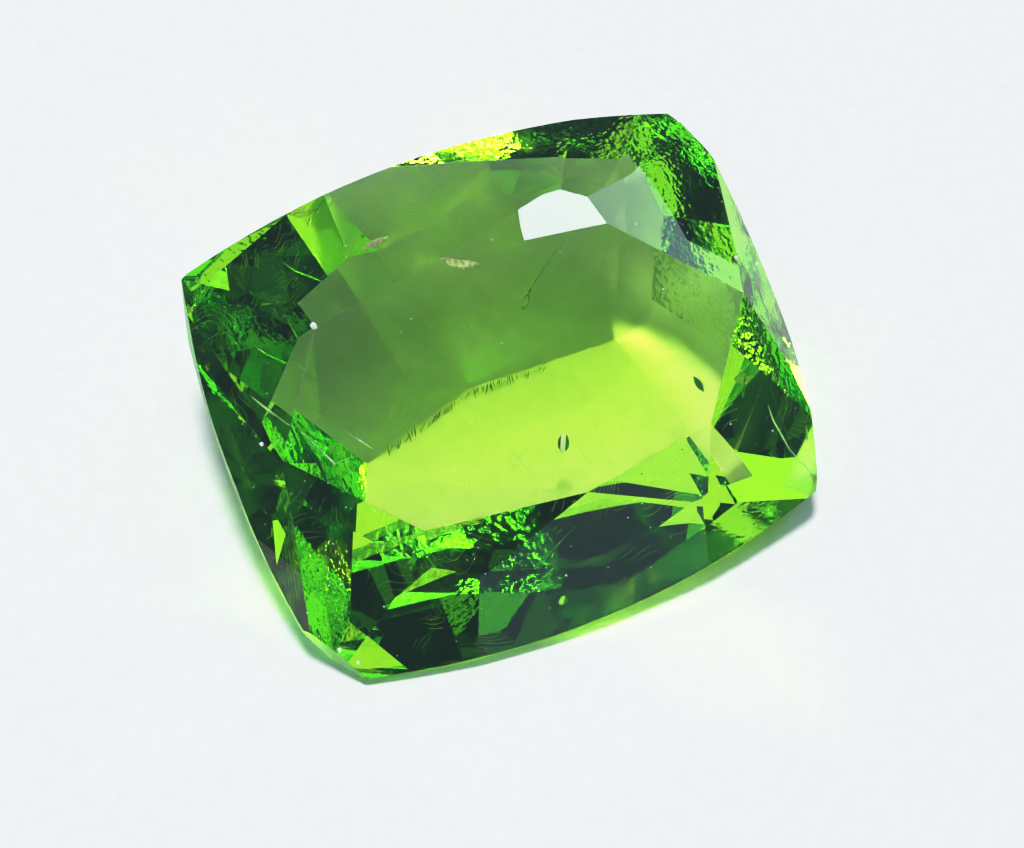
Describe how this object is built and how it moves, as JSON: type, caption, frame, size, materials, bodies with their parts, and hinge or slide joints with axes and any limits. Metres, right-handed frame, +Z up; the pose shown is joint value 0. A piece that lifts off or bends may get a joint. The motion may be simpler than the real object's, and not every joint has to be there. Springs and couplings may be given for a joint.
{
  "type": "cushion cut alexandrite",
  "caption": "Loose cushion-cut green alexandrite with a broad table, low crown and keeled pavilion, lying on a pavilion facet, ready for a ring or pendant setting.",
  "frame": {"origin": "middle of the stone's box, on the surface it lies on", "axes": "+X to the stone's right end, along its length; -Y to its front side, towards which the table leans; +Z up from the surface"},
  "size_m": [0.0146, 0.0116, 0.0054],
  "materials": {
    "alexandrite": "polished facets, clear green"
  },
  "bodies": {
    "root": {"cut_stone": "alexandrite"}
  },
  "joints": []
}
